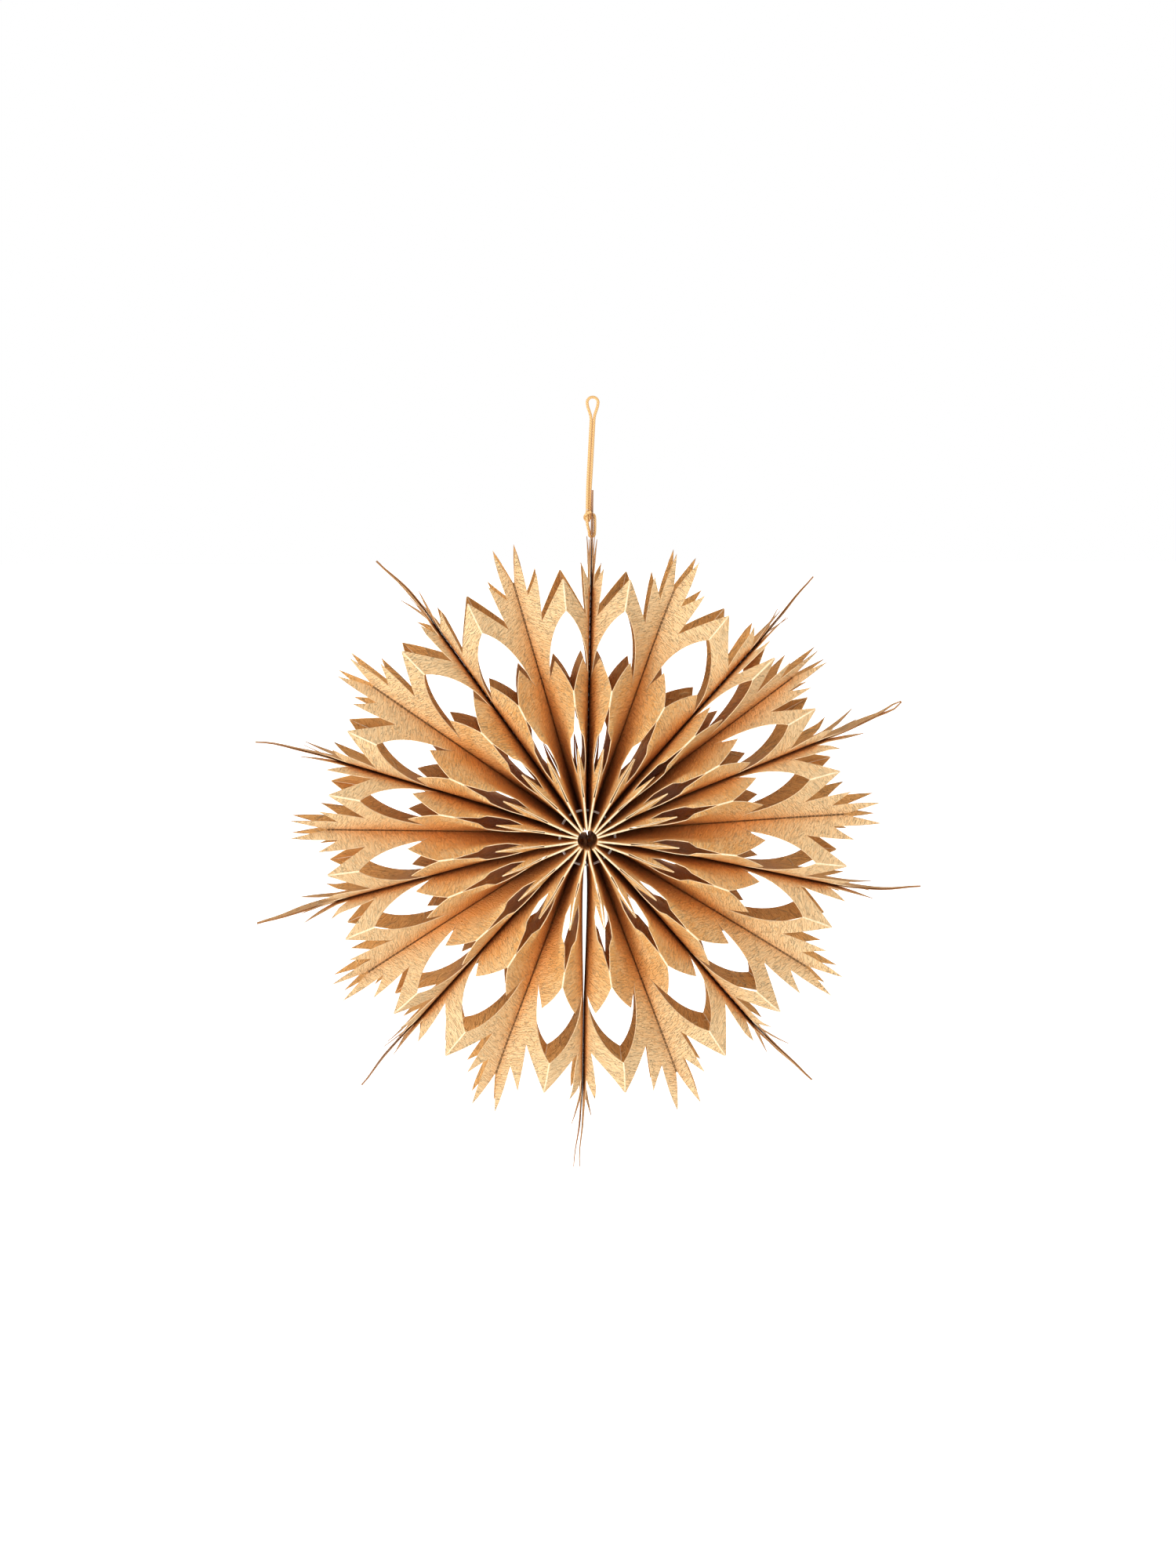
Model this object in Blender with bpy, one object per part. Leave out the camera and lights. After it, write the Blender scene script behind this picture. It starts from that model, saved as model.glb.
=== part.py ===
"""Paper snowflake ornament: ten folded and cut paper pockets, fanned out round a tied hub and hung
from a cord loop. Metres, +Z up, the front looks towards -Y. The origin is the top of the hanging
loop, where a hook holds it, and the hub lies straight below."""

import math

import bpy
from mathutils import Vector
from mathutils.geometry import delaunay_2d_cdt

# The paper and the flat pocket
PAPER = 0.0004  # thickness of the card
GAP = 0.0003  # between two sheets that lie on each other
POCKET_DEPTH = 0.0810  # flat width of a pocket, from its front folds to its back folds
GUSSET_WIDTH = 0.0337  # how far each side of a pocket is folded in
HUB_RADIUS = 0.0063  # from the axis to the inner ends of the sheets
SPIKE_LENGTH = 0.200  # from the axis to the tip of each spine

# Each pocket's angles, clockwise from the top spine: how far it is opened, and how far the side
# folds of its near wall and of its far wall stand off their spines. The openings are shares of
# the full circle, near enough in degrees.
POCKETS = (
    (41.0, 8.3, 12.3),
    (26.4, 3.4, 8.2),
    (33.4, 6.5, 5.8),
    (37.1, 8.5, 6.8),
    (41.6, 9.0, 10.0),
    (41.3, 8.9, 10.5),
    (33.0, 5.9, 7.5),
    (31.7, 7.3, 6.7),
    (37.7, 7.9, 8.9),
    (36.9, 9.0, 6.5),
)
TOP_LEAN = 1.2  # degrees that the top spine leans to its right
FLATTEST = 0.96  # a leaf never opens past this part of its flat width
SHALLOWEST = 0.2  # and its crease stays this part of its gusset's width behind its side folds
STEEPEST = 0.95  # sine of the steepest slope of a wall

# Where a wall bends away from its spine: part of its half width, and part of its spread
WALL_BENDS = ((0.43, 0.10), (0.70, 0.50))

# The cut-outs, as distances from the axis
TAB_END = 0.0216  # the closed hub part of each side fold
TAB_STEP = 0.0018
FINGER_TIP = 0.0531
FINGER_SLIT = 0.0378
FINGER_WIDTH = 0.0032
WINDOW_LOW = 0.0460
WINDOW_WIDE = 0.0589
WINDOW_TOP = 0.0774
BRIDGE_LENGTH = 0.0094  # the side fold is closed again this far beyond the window
INNER_TOOTH = 0.1042
TOOTH_SLIT = 0.0906
NECK = 0.0958
DIAMOND_BEND = 0.1220
DIAMOND_TOP = 0.1322
CHEVRON_TIP = 0.1506
CHEVRON_NOTCH = 0.1280
SIDE_TOOTH = 0.1560
TOOTH_NOTCH = 0.1440
CREASE_TOOTH = 0.1722
CREASE_NOTCH = 0.1510

# The cut-outs, as distances from the side fold or from the crease
WINDOW_LOW_IN = 0.0085
WINDOW_WIDE_IN = 0.0056
INNER_TOOTH_OUT = 0.0182
TOOTH_SLIT_OUT = 0.0063
NECK_OUT = 0.0100
DIAMOND_BEND_OUT = 0.0175
CHEVRON_NOTCH_OUT = 0.0135
SIDE_TOOTH_OUT = 0.0164
TOOTH_NOTCH_OUT = 0.0072
CREASE_TOOTH_OUT = 0.0062
TIP_HALF = 0.0005  # half width of a spine's blunt tip

# The bend of each spine's tip, sideways and clockwise, from the top spine on
TIP_BENDS = (0.0, -0.003, -0.001, -0.003, 0.002, 0.002, -0.001, -0.001, 0.004, 0.005)
TIP_BEND_START = 0.150

# The seam at the bottom, where the folded strip ends: its two walls bow apart above the tie
SEAM_SPINE = 5
SEAM_BOW = 0.0013  # for each wall
SEAM_END = 0.100

# The two threads that tie the hub
TIE_RADIUS = 0.0160
TIE_THICKNESS = 0.0010
TIE_DEPTH = 0.0270  # from the middle plane
TIE_CLEARANCE = 0.0006

# The hanging cord and its hitch through the top spine
CORD_DIAMETER = 0.0017
LOOP_TO_HUB = 0.2530  # from the inside of the loop's top to the axis
STRAND_SPACING = 0.0021
LOW_TURN = 80.0  # how far the rear strand lies behind the front one beside the blade
HIGH_TURN = 45.0  # and above it, in degrees
EYE_RADIUS = 0.0032  # centre line of the loop's open eye
EYE_NECK = 0.0150  # from the eye's middle down to where the strands lie side by side
HOLE_FROM_TIP = 0.0270
HITCH_HEIGHT = 0.0155  # from the hole up to the cord's free stretch
BAND_WIDE = 0.0035
BAND_DEEP = 0.0039
BAND_ASIDE = 0.0011
BAND_HEIGHT = 0.0120  # from the hole up to the turn that binds the strands
BAND_TILT = 30.0
BAND_START = 83.0  # the turn runs round the left from the front to the right, in degrees
BAND_END = 350.0
REAR_TUCK = 0.0060  # the rear strand goes this far down inside the turn
CORD_STEP = 0.0045

HALF = POCKET_DEPTH / 2
CREASE = HALF - GUSSET_WIDTH
LAYER = PAPER + GAP
BLADE_SIDE = LAYER / 2 + PAPER / 2 + 2 * GAP + CORD_DIAMETER / 2  # from the spine to the cord
HOLE_HEIGHT = SPIKE_LENGTH - HOLE_FROM_TIP
LEAN = math.radians(TOP_LEAN)
HUB_CENTRE = Vector((-SPIKE_LENGTH * math.sin(LEAN), 0, -LOOP_TO_HUB))
FRONT = Vector((0, -1, 0))
COUNT = len(POCKETS)
CIRCLE = 2 * math.pi / sum(row[0] for row in POCKETS)  # one share of the full circle


def clear_scene():
    for obj in list(bpy.data.objects):
        bpy.data.objects.remove(obj, do_unlink=True)


def material(name, colour, roughness):
    mat = bpy.data.materials.new(name)
    mat.use_nodes = True
    shader = mat.node_tree.nodes["Principled BSDF"]
    shader.inputs["Base Color"].default_value = (*colour, 1)
    shader.inputs["Roughness"].default_value = roughness
    shader.inputs["Metallic"].default_value = 0
    return mat


def outward(angle):
    """The direction away from the hub, for an angle anticlockwise from +X in the front view."""
    return Vector((math.cos(angle), 0, math.sin(angle)))


def sideways(angle):
    """The anticlockwise direction round the hub."""
    return Vector((-math.sin(angle), 0, math.cos(angle)))


def spine_angle(index):
    return math.pi / 2 - LEAN - CIRCLE * sum(row[0] for row in POCKETS[:index])


def pocket_parts(pocket):
    """A pocket's angles: its near wall's spread, half of its leaf, and its far wall's spread."""
    opened, near, far = (part * CIRCLE for part in POCKETS[pocket])
    widest = math.atan(FLATTEST * GUSSET_WIDTH / CHEVRON_TIP)
    leaf = min((opened - near - far) / 2, widest)
    share = (opened - 2 * leaf) / (near + far)
    return near * share, leaf, far * share


def curve_between(start, control, end, steps):
    """Points along a quadratic curve, without its two ends."""
    inner = []
    for i in range(1, steps):
        t = i / steps
        inner.append(
            tuple(
                (1 - t) ** 2 * a + 2 * t * (1 - t) * b + t * t * c
                for a, b, c in zip(start, control, end)
            )
        )
    return inner


def side_cut():
    """The cut edge of a flat pocket, from its bottom corner at the hub to the notch on the crease."""
    neck = (CREASE + NECK_OUT, NECK)
    diamond = (HALF, DIAMOND_TOP)
    return [
        (HALF, HUB_RADIUS),
        (HALF, TAB_END),
        (HALF - TAB_STEP, TAB_END),
        (HALF - TAB_STEP, FINGER_TIP),
        (HALF - TAB_STEP - FINGER_WIDTH, FINGER_SLIT),
        (HALF - WINDOW_LOW_IN, WINDOW_LOW),
        (HALF - WINDOW_WIDE_IN, WINDOW_WIDE),
        (HALF, WINDOW_TOP),
        (HALF, WINDOW_TOP + BRIDGE_LENGTH),
        (CREASE + INNER_TOOTH_OUT, INNER_TOOTH),
        (CREASE + TOOTH_SLIT_OUT, TOOTH_SLIT),
        neck,
        *curve_between(neck, (CREASE + DIAMOND_BEND_OUT, DIAMOND_BEND), diamond, 3),
        diamond,
        (HALF, CHEVRON_TIP),
        (CREASE + CHEVRON_NOTCH_OUT, CHEVRON_NOTCH),
        (CREASE + SIDE_TOOTH_OUT, SIDE_TOOTH),
        (CREASE + TOOTH_NOTCH_OUT, TOOTH_NOTCH),
        (CREASE + CREASE_TOOTH_OUT, CREASE_TOOTH),
        (CREASE, CREASE_NOTCH),
    ]


def spike_edge():
    """The cut edge from the crease notch to the tip of the spine."""
    start = (CREASE, CREASE_NOTCH)
    end = (TIP_HALF, SPIKE_LENGTH)
    control = (CREASE * 0.30, (CREASE_NOTCH + SPIKE_LENGTH) / 2)
    return [*curve_between(start, control, end, 3), end]


def mirrored(points):
    """A closed outline from its right half, which runs from the bottom to the top."""
    left = [(-x, y) for x, y in reversed(points) if x > 0]
    return points + left


def round_hole(x, y, radius, sides):
    turns = [2 * math.pi * i / sides for i in range(sides)]
    return [(x + radius * math.cos(t), y + radius * math.sin(t)) for t in turns]


def is_inside(point, loop):
    """Whether a flat point lies inside a closed loop."""
    x, y = point
    crossings = 0
    for (x0, y0), (x1, y1) in zip(loop, loop[1:] + loop[:1]):
        if (y0 > y) != (y1 > y) and x < x0 + (y - y0) * (x1 - x0) / (y1 - y0):
            crossings += 1
    return crossings % 2 == 1


def flat_sheet(outline, holes, bends, levels):
    """Triangles of a flat sheet with holes, cut along its bend lines and at a few levels."""
    coords = []
    edges = []
    for loop in [outline, *holes]:
        first = len(coords)
        coords += loop
        edges += [(first + i, first + (i + 1) % len(loop)) for i in range(len(loop))]
    reach = max(abs(x) for x, _ in outline) + PAPER
    lines = [((x, 0), (x, SPIKE_LENGTH + PAPER)) for x in bends]
    lines += [((-reach, y), (reach, y)) for y in levels]
    for line in lines:
        edges.append((len(coords), len(coords) + 1))
        coords += line
    points, _, faces, *_ = delaunay_2d_cdt([Vector(c) for c in coords], edges, [], 0, 1e-7)
    kept = []
    for face in faces:
        middle = sum((points[i] for i in face), Vector((0, 0))) / len(face)
        if is_inside(middle, outline) and not any(is_inside(middle, hole) for hole in holes):
            kept.append(face)
    used = sorted({i for face in kept for i in face})
    place = {old: new for new, old in enumerate(used)}
    return [tuple(points[i]) for i in used], [[place[i] for i in face] for face in kept]


def paper_object(name, flat, fold, mat):
    """A sheet folded to its place by fold(x, y) and given the card's thickness."""
    points, faces = flat
    mesh = bpy.data.meshes.new(name)
    mesh.from_pydata([HUB_CENTRE + fold(x, y) for x, y in points], [], faces)
    mesh.materials.append(mat)
    obj = bpy.data.objects.new(name, mesh)
    bpy.context.collection.objects.link(obj)
    solid = obj.modifiers.new("card thickness", "SOLIDIFY")
    solid.thickness = PAPER
    solid.offset = 0
    solid.use_even_offset = True
    solid.use_quality_normals = True
    return obj


def wall_place(x, y, spread):
    """How far a wall's point lies beside its spine's plane, and in front of the middle plane."""
    opening = max(y - HUB_RADIUS, 0) * math.tan(spread)
    stops = [(0, 0), *WALL_BENDS, (1, 1)]
    beside = LAYER / 2
    ahead = 0
    for (low, opened), (high, next_opened) in zip(stops, stops[1:]):
        width = (high - low) * HALF
        part = min(max(abs(x) - low * HALF, 0) / width, 1)
        rise = min(opening * (next_opened - opened), STEEPEST * width)
        beside += part * rise
        ahead += part * math.sqrt(width**2 - rise**2)
    return beside, math.copysign(ahead, x)


def tip_bend(spine, y):
    past = max(y - TIP_BEND_START, 0) / (SPIKE_LENGTH - TIP_BEND_START)
    return -TIP_BENDS[spine % COUNT] * past**2


def seam_bow(spine, y):
    if spine != SEAM_SPINE or not TIE_RADIUS < y < SEAM_END:
        return 0
    part = (y - TIE_RADIUS) / (SEAM_END - TIE_RADIUS)
    return SEAM_BOW * math.sin(math.pi * math.sqrt(part))


def wall_fold(spine, side, spread):
    """The fold of a wall: side is 1 on its spine's anticlockwise side and -1 on the other."""
    angle = spine_angle(spine)
    out, across = outward(angle), sideways(angle)

    def fold(x, y):
        beside, ahead = wall_place(x, y, spread)
        beside += seam_bow(spine, y)
        return out * y + across * (side * beside + tip_bend(spine, y)) + FRONT * ahead

    return fold


def leaf_edge(y, spread, half):
    """A leaf's side fold beside its wall: how far out along the crease, how far to the side of
    the crease, how far in front of the middle plane, and how deep the crease lies for it."""
    beside, ahead = wall_place(HALF, y, spread)
    beside += LAYER
    along = y * math.cos(half) + beside * math.sin(half)
    width = max(y * math.sin(half) - beside * math.cos(half) - LAYER / 2, 0)
    drop = math.sqrt(max(GUSSET_WIDTH**2 - width**2, (SHALLOWEST * GUSSET_WIDTH) ** 2))
    return along, width, ahead, ahead - drop


def leaf_fold(pocket, facing):
    """The fold of a leaf, whose crease lies between its pocket's walls: facing is 1 in front."""
    near, leaf, far = pocket_parts(pocket)
    crease_angle = spine_angle(pocket) - near - leaf
    out, across = outward(crease_angle), sideways(crease_angle)

    def fold(x, y):
        edges = leaf_edge(y, near, near + leaf), leaf_edge(y, far, far + leaf)
        crease_ahead = (edges[0][3] + edges[1][3]) / 2
        along, width, ahead, _ = edges[0] if x > 0 else edges[1]
        part = max(abs(x) - LAYER / 2, 0) / GUSSET_WIDTH
        side = math.copysign(min(abs(x), LAYER / 2) + part * width, x)
        spine = pocket if x > 0 else pocket + 1
        bow = math.copysign(part * seam_bow(spine, y), -x)
        return (
            out * (y + part * (along - y))
            + across * side
            + sideways(spine_angle(spine)) * bow
            + FRONT * facing * (crease_ahead + part * (ahead - crease_ahead))
        )

    return fold


def tie_holes(x):
    radius = TIE_THICKNESS / 2 + TIE_CLEARANCE
    return [round_hole(side * x, TIE_RADIUS, radius, 6) for side in (-1, 1)]


def wall_sheet(holes):
    bends = [0, *(side * part * HALF for part, _ in WALL_BENDS for side in (-1, 1))]
    levels = (FINGER_SLIT, WINDOW_TOP, CHEVRON_NOTCH, CREASE_NOTCH)
    return flat_sheet(mirrored(side_cut() + spike_edge()), holes, bends, levels)


def leaf_sheet():
    shift = LAYER / 2 - CREASE
    outline = mirrored([(x + shift, y) for x, y in side_cut()])
    levels = (FINGER_SLIT, WINDOW_TOP, CHEVRON_NOTCH)
    bends = (-LAYER / 2, LAYER / 2)
    return flat_sheet(outline, tie_holes(TIE_DEPTH + shift), bends, levels)


def make_walls(mat):
    """Each pocket's two walls. The two by the top spine have the cord's hole."""
    plain = wall_sheet(tie_holes(TIE_DEPTH))
    eyelet = round_hole(0, HOLE_HEIGHT, CORD_DIAMETER / 2 + 2 * GAP, 8)
    pierced = wall_sheet([*tie_holes(TIE_DEPTH), eyelet])
    for pocket in range(COUNT):
        near, _, far = pocket_parts(pocket)
        for word, spine, side, spread in (
            ("near", pocket, -1, near),
            ("far", pocket + 1, 1, far),
        ):
            sheet = pierced if spine % COUNT == 0 else plain
            name = f"pocket_{pocket + 1:02d}_{word}_wall"
            paper_object(name, sheet, wall_fold(spine, side, spread), mat)


def make_leaves(mat):
    sheet = leaf_sheet()
    for pocket in range(COUNT):
        for word, facing in (("front", 1), ("back", -1)):
            name = f"pocket_{pocket + 1:02d}_{word}_leaf"
            obj = paper_object(name, sheet, leaf_fold(pocket, facing), mat)
            if facing < 0:
                obj.data.flip_normals()


def make_ties(mat):
    """The two rings of thread through every sheet near the hub."""
    for word, facing in (("front", 1), ("back", -1)):
        bpy.ops.mesh.primitive_torus_add(
            major_segments=40,
            minor_segments=6,
            major_radius=TIE_RADIUS,
            minor_radius=TIE_THICKNESS / 2,
            location=HUB_CENTRE + FRONT * facing * TIE_DEPTH,
            rotation=(math.pi / 2, 0, 0),
        )
        obj = bpy.context.object
        obj.name = f"hub_tie_{word}"
        obj.data.materials.append(mat)
        obj.data.shade_smooth()


def cord_object(name, path, mat):
    """A round cord along a path of points."""
    data = bpy.data.curves.new(name, "CURVE")
    data.dimensions = "3D"
    data.bevel_depth = CORD_DIAMETER / 2
    data.bevel_resolution = 2
    data.use_fill_caps = True
    spline = data.splines.new("POLY")
    spline.points.add(len(path) - 1)
    for point, place in zip(spline.points, path):
        point.co = (*place, 1)
    data.materials.append(mat)
    obj = bpy.data.objects.new(name, data)
    bpy.context.collection.objects.link(obj)
    return obj


def on_blade(x, y, z):
    """A place by the top spine, moved sideways with the leaning blade up to its tip."""
    below_tip = min(z - HUB_CENTRE.z - SPIKE_LENGTH, 0)
    return (x + below_tip * math.tan(LEAN), y, z)


def between(stops, z):
    """The value at a height, from a list of heights and values."""
    for (z0, value0), (z1, value1) in zip(stops, stops[1:]):
        if z <= z1:
            return value0 + (value1 - value0) * max(z - z0, 0) / (z1 - z0)
    return stops[-1][1]


def strand_place(z, front):
    """Where a strand lies at a height: front is 1 for the front one and -1 for the rear one."""
    tip = -LOOP_TO_HUB + SPIKE_LENGTH
    eye = CORD_DIAMETER / 2 - EYE_RADIUS
    neck = eye - EYE_NECK
    half = STRAND_SPACING / 2
    middle = -BLADE_SIDE - half * math.cos(math.radians(LOW_TURN))
    turns = [(tip, LOW_TURN), (tip + 2 * CORD_STEP, HIGH_TURN), (neck, HIGH_TURN), (eye, 0)]
    turn = math.radians(between(turns, z))
    wide = half
    if z > neck:
        wide += (EYE_RADIUS - half) * ((z - neck) / EYE_NECK) ** 2
    x = between([(tip, middle), (neck, 0)], z) - front * wide * math.cos(turn)
    return on_blade(x, -front * wide * math.sin(turn), z)


def strand_heights(tuck):
    """Heights of one strand's points, from its lower end up to the eye's middle."""
    bottom = -LOOP_TO_HUB + HOLE_HEIGHT + HITCH_HEIGHT + GAP - tuck
    tip = -LOOP_TO_HUB + SPIKE_LENGTH
    eye = CORD_DIAMETER / 2 - EYE_RADIUS
    below = math.ceil((tip - bottom) / CORD_STEP)
    above = math.ceil((eye - tip) / CORD_STEP)
    heights = [bottom + (tip - bottom) * i / below for i in range(below)]
    return heights + [tip + (eye - tip) * i / above for i in range(above + 1)]


def make_cord(mat):
    """The doubled cord, from the hitch up to its eye and down again."""
    front = [strand_place(z, 1) for z in strand_heights(0)]
    rear = [strand_place(z, -1) for z in reversed(strand_heights(REAR_TUCK))]
    eye = CORD_DIAMETER / 2 - EYE_RADIUS
    turns = [math.pi * (1 - i / 10) for i in range(1, 10)]
    top = [(EYE_RADIUS * math.cos(t), 0, eye + EYE_RADIUS * math.sin(t)) for t in turns]
    cord_object("hanging_cord", front + top + rear, mat)


def make_hitch(mat):
    """The part of the cord that goes through the top spine, and its turn round both strands."""
    rise = CORD_DIAMETER / 2
    hole = -LOOP_TO_HUB + HOLE_HEIGHT
    slope = math.tan(math.radians(BAND_TILT))
    ahead = STRAND_SPACING / 2 * math.sin(math.radians(LOW_TURN))
    beside = BLADE_SIDE + STRAND_SPACING * math.cos(math.radians(LOW_TURN))
    below_band = BAND_HEIGHT + BLADE_SIDE * slope - 2 * CORD_DIAMETER
    path = [
        (-beside, -ahead, HITCH_HEIGHT),
        (-beside, -ahead, HITCH_HEIGHT / 2),
        (-BLADE_SIDE, -ahead / 3, rise * 3.2),
        (-BLADE_SIDE, 0, rise * 1.4),
        (-BLADE_SIDE + rise * 0.5, 0, rise * 0.5),
        (-BLADE_SIDE + rise * 1.3, 0, 0),
        (BLADE_SIDE - rise * 1.3, 0, 0),
        (BLADE_SIDE - rise * 0.5, 0, rise * 0.5),
        (BLADE_SIDE, 0, rise * 1.4),
        (BLADE_SIDE, 0, rise * 3.2),
        (BLADE_SIDE, 0, below_band / 2),
        (BLADE_SIDE, 0, below_band),
    ]
    cord_object("cord_hitch", [on_blade(x, y, hole + z) for x, y, z in path], mat)

    ring = []
    for i in range(21):
        turn = math.radians(BAND_START + (BAND_END - BAND_START) * i / 20)
        x = BAND_WIDE * math.cos(turn) - BAND_ASIDE
        ring.append(on_blade(x, -BAND_DEEP * math.sin(turn), hole + BAND_HEIGHT + x * slope))
    cord_object("cord_band", ring, mat)


def main():
    clear_scene()
    card = material("tan_card", (0.70, 0.40, 0.17), 0.75)
    thread = material("white_thread", (0.80, 0.78, 0.74), 0.5)
    cord = material("tan_cord", (0.62, 0.36, 0.15), 0.7)
    make_walls(card)
    make_leaves(card)
    make_ties(thread)
    make_cord(cord)
    make_hitch(cord)


main()
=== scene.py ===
"""Dresses the paper snowflake ornament: finely folded sheets in place of the plain walls and
leaves, card, thread and cord finishes, and a white studio. Metres, +Z up, the front is -Y."""

import math

import bpy
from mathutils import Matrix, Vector, noise
from mathutils.geometry import delaunay_2d_cdt


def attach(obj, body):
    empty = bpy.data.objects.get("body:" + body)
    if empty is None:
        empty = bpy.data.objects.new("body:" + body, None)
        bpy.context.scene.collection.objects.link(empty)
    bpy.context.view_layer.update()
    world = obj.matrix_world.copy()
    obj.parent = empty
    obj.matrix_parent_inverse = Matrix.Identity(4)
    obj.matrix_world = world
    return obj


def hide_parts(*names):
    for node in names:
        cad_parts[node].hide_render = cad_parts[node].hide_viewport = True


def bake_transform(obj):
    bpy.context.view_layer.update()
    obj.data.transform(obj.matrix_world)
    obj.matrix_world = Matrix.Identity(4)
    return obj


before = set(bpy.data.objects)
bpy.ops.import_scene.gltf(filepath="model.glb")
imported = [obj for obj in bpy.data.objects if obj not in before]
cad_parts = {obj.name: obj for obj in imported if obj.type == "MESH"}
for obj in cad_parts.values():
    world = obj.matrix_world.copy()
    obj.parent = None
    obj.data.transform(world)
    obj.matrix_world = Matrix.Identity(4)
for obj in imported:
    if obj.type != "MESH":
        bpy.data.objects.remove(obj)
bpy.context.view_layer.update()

# The paper and the flat pocket, with a hub a little narrower than the solids'
PAPER = 0.0004
GAP = 0.0003
POCKET_DEPTH = 0.0810
GUSSET_WIDTH = 0.0337
HUB_RADIUS = 0.0058
SPIKE_LENGTH = 0.200
POCKETS = (
    (41.0, 8.3, 12.3),
    (26.4, 3.4, 8.2),
    (33.4, 6.5, 5.8),
    (37.1, 8.5, 6.8),
    (41.6, 9.0, 10.0),
    (41.3, 8.9, 10.5),
    (33.0, 5.9, 7.5),
    (31.7, 7.3, 6.7),
    (37.7, 7.9, 8.9),
    (36.9, 9.0, 6.5),
)
TOP_LEAN = 1.2
FLATTEST = 0.96
SHALLOWEST = 0.2
STEEPEST = 0.95
WALL_BENDS = ((0.43, 0.10), (0.70, 0.50))

# The cut-outs, as distances from the axis, with tabs a little longer than the solids'
TAB_END = 0.0250
TAB_STEP = 0.0018
FINGER_TIP = 0.0531
FINGER_SLIT = 0.0378
FINGER_WIDTH = 0.0032
WINDOW_LOW = 0.0460
WINDOW_WIDE = 0.0589
WINDOW_TOP = 0.0774
BRIDGE_LENGTH = 0.0094
INNER_TOOTH = 0.1042
TOOTH_SLIT = 0.0906
NECK = 0.0958
DIAMOND_BEND = 0.1220
DIAMOND_TOP = 0.1322
CHEVRON_TIP = 0.1506
CHEVRON_NOTCH = 0.1280
SIDE_TOOTH = 0.1560
TOOTH_NOTCH = 0.1440
CREASE_TOOTH = 0.1722
CREASE_NOTCH = 0.1510

# The cut-outs, as distances from the side fold or from the crease
WINDOW_LOW_IN = 0.0085
WINDOW_WIDE_IN = 0.0056
INNER_TOOTH_OUT = 0.0182
TOOTH_SLIT_OUT = 0.0063
NECK_OUT = 0.0100
DIAMOND_BEND_OUT = 0.0175
CHEVRON_NOTCH_OUT = 0.0135
SIDE_TOOTH_OUT = 0.0164
TOOTH_NOTCH_OUT = 0.0072
CREASE_TOOTH_OUT = 0.0062
TIP_HALF = 0.0005

# The spines' tips, which bend anticlockwise where positive, and the bottom seam's bow
TIP_BENDS = (0.0, 0.003, 0.002, 0.008, 0.005, -0.004, 0.002, 0.003, 0.003, 0.0058)
TIP_BEND_START = 0.150
SEAM_SPINE = 5
SEAM_BOW = 0.0013
SEAM_END = 0.100

# The ties, and the cord with its hitch
TIE_RADIUS = 0.0160
TIE_THICKNESS = 0.0010
TIE_DEPTH = 0.0270
TIE_CLEARANCE = 0.0006
TIE_STRAND = 0.00032  # radius of each of its two strands
TIE_APART = 0.00034  # from a strand's middle to the tie's
TIE_SLACK = 0.00035
TIE_UNEVEN = 0.0003
TIE_STEPS = 14
CORD_DIAMETER = 0.0017
LOOP_TO_HUB = 0.2530
STRAND_SPACING = 0.0018
LOW_TURN = 30.0
HIGH_TURN = 15.0
EYE_RADIUS = 0.0032
EYE_NECK = 0.0095
HOLE_FROM_TIP = 0.0270
HITCH_HEIGHT = 0.0155
BAND_WIDE = 0.00315  # half of the turn's width
BAND_DEEP = 0.003354
BAND_ASIDE = 0.0011
BAND_HEIGHT = 0.0120
BAND_SLOPE = 0.2  # up to the right
BAND_PITCH = 0.78  # up to the front
BAND_START = 83.0
BAND_END = 270.0
BAND_STEPS = 40
REAR_TUCK = 0.0060
CORD_STEP = 0.0025
EYE_STEPS = 14
TURN_RISE = 0.0090  # the height over which the strands turn about each other

# What the finer sheets add to the CAD's
SHEET_STEP = 0.0055  # size of a sheet's facets
RIPPLE = 0.00065  # crumple of the inner ends, sideways
RIPPLE_WAVE = 0.0036
RIPPLE_DRIFT = 0.009
RIPPLE_REACH = 0.0085  # how far out it dies away
SWELL = 0.0007  # slow unevenness of the leaves
SWELL_WAVES = (0.016, 0.024)  # across and along
TOOTH_CURL = 0.0016  # how far the leaves' outer teeth curl
LOOSE_TOOTH = 1.3  # how far from the crease they curl, in distances to the chevron's notch
SEAM_GAP = 0.00003  # between the two sheets of a seam
TOOTH_SPLAY = 0.0020  # how far the teeth beside a spine's tip stand off
SPLAY_UNEVEN = 0.6
SPLAY_FROM = 0.7  # where they start, as a share of the crease's distance
SEAM_SPLAY = 0.0015  # how far the loose seam's two sheets part at the tip
LOOPED_SPINE = 2  # the spine whose two sheets bow apart near the tip
LOOP_START = 0.74
LOOP_BOW = 0.0011
TIP_TWIST = 17.0  # degrees that a spine's tip turns about its own length
LEAF_SPRING = 0.0024  # how far the free edges of the inner windows spring apart
WALL_SPRING = 0.0017
SPRING_REACH = 0.5  # how deep in the sheet it starts, as a share of a leaf
SPRING_EASE = 0.55
FINGER_LEAN = 0.0017  # how far a finger's free edge leans over its window
TIP_WOBBLE = 0.0007
FOLD_BULGE = 0.0005  # how far a rounded fold stands out
FOLD_STEP = 0.006
FOLD_SIDES = 6
SHARP_FOLD = math.radians(38)

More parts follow.
